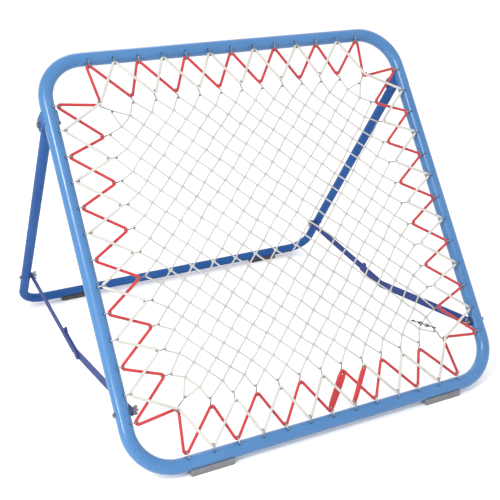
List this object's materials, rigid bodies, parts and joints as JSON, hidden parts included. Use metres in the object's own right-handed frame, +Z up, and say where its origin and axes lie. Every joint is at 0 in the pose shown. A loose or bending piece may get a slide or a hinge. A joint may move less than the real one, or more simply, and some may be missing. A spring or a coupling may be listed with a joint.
{
  "type": "pitch back rebounder",
  "caption": "Free-standing ball rebounder: a square tube frame with a net hung on red and white elastics, propped at a slope by a folding U-shaped rear stand with jointed side stays.",
  "frame": {"origin": "middle of the whole object's box, at the floor", "axes": "+Z up, +Y from the front bar to the rear bar, +X to the right seen from the front"},
  "size_m": [1.0172, 1.0388, 0.8333],
  "materials": {
    "blue_paint": "glossy powder coat, mid blue",
    "stand_paint": "glossy powder coat, darker blue",
    "stay_paint": "satin paint, darker violet blue",
    "zinc_steel": "bright zinc plate, slightly dull",
    "dark_steel": "dark oxide",
    "net_cord": "twisted off-white nylon cord",
    "white_elastic": "braided off-white elastic cord",
    "red_elastic": "braided red elastic cord",
    "grey_rubber": "matt grey rubber",
    "black_rubber": "matt black rubber",
    "plug_plastic": "black moulded cap"
  },
  "bodies": {
    "frame": {"front_frame": "blue_paint", "left_outer_pivot_ear": "stand_paint", "left_inner_pivot_ear": "stand_paint", "right_outer_pivot_ear": "stand_paint", "right_inner_pivot_ear": "stand_paint", "pivot_bolts": "zinc_steel", "pivot_nuts": "dark_steel", "pivot_spacers": "zinc_steel", "front_stay_bolts": "zinc_steel", "front_stay_washers": "zinc_steel", "net": "net_cord", "red_elastic": "red_elastic", "white_elastic": "white_elastic", "wide_red_wrap": "red_elastic", "narrow_red_wrap": "red_elastic", "red_frame_hooks": "zinc_steel", "white_frame_hooks": "zinc_steel", "red_net_hooks": "zinc_steel", "white_net_hooks": "zinc_steel", "corner_net_hooks": "zinc_steel", "corner_chain": "dark_steel", "left_front_foot": "grey_rubber", "right_front_foot": "grey_rubber"},
    "stand": {"rear_stand": "stand_paint", "rear_stay_bolts": "zinc_steel", "rear_stay_washers": "zinc_steel", "left_rear_foot": "black_rubber", "right_rear_foot": "black_rubber", "left_leg_plug": "plug_plastic", "right_leg_plug": "plug_plastic"},
    "left_front_link": {"left_front_stay": "stay_paint", "left_front_stay_rivet": "zinc_steel"},
    "left_front_nut": {"left_front_wing_nut": "zinc_steel"},
    "left_rear_link": {"left_rear_stay": "stay_paint", "left_rear_stay_rivet": "zinc_steel"},
    "left_rear_nut": {"left_rear_wing_nut": "zinc_steel"},
    "right_front_link": {"right_front_stay": "stay_paint", "right_front_stay_rivet": "zinc_steel"},
    "right_front_nut": {"right_front_wing_nut": "zinc_steel"},
    "right_rear_link": {"right_rear_stay": "stay_paint", "right_rear_stay_rivet": "zinc_steel"},
    "right_rear_nut": {"right_rear_wing_nut": "zinc_steel"}
  },
  "joints": [
    {"name": "stand_fold", "type": "hinge", "parent": "frame", "child": "stand", "pos_m": [0, 0.00412, 0.68425], "axis": [-1, 0, 0], "range_deg": [0, 70]},
    {"name": "left_front_stay_hinge", "type": "hinge", "parent": "frame", "child": "left_front_link", "pos_m": [0, -0.41999, 0.14132], "axis": [1, 0, 0], "range_deg": [0, 57.46]},
    {"name": "left_rear_stay_hinge", "type": "hinge", "parent": "stand", "child": "left_rear_link", "pos_m": [0, 0.42071, 0.1342], "axis": [-1, 0, 0], "range_deg": [0, 59.31]},
    {"name": "left_front_wing_nut_turn", "type": "hinge", "parent": "frame", "child": "left_front_nut", "pos_m": [0, -0.41999, 0.14132], "axis": [1, 0, 0], "continuous": true},
    {"name": "left_rear_wing_nut_turn", "type": "hinge", "parent": "stand", "child": "left_rear_nut", "pos_m": [0, 0.42071, 0.1342], "axis": [1, 0, 0], "continuous": true},
    {"name": "right_front_stay_hinge", "type": "hinge", "parent": "frame", "child": "right_front_link", "pos_m": [0, -0.41999, 0.14132], "axis": [1, 0, 0], "range_deg": [0, 57.46]},
    {"name": "right_rear_stay_hinge", "type": "hinge", "parent": "stand", "child": "right_rear_link", "pos_m": [0, 0.42071, 0.1342], "axis": [-1, 0, 0], "range_deg": [0, 59.31]},
    {"name": "right_front_wing_nut_turn", "type": "hinge", "parent": "frame", "child": "right_front_nut", "pos_m": [0, -0.41999, 0.14132], "axis": [1, 0, 0], "continuous": true},
    {"name": "right_rear_wing_nut_turn", "type": "hinge", "parent": "stand", "child": "right_rear_nut", "pos_m": [0, 0.42071, 0.1342], "axis": [1, 0, 0], "continuous": true}
  ],
  "couplings": [
    {"joint": "left_front_stay_hinge", "follows": "stand_fold", "ratio": 0.82009},
    {"joint": "left_rear_stay_hinge", "follows": "stand_fold", "ratio": 0.84651},
    {"joint": "right_front_stay_hinge", "follows": "stand_fold", "ratio": 0.82009},
    {"joint": "right_rear_stay_hinge", "follows": "stand_fold", "ratio": 0.84651}
  ]
}
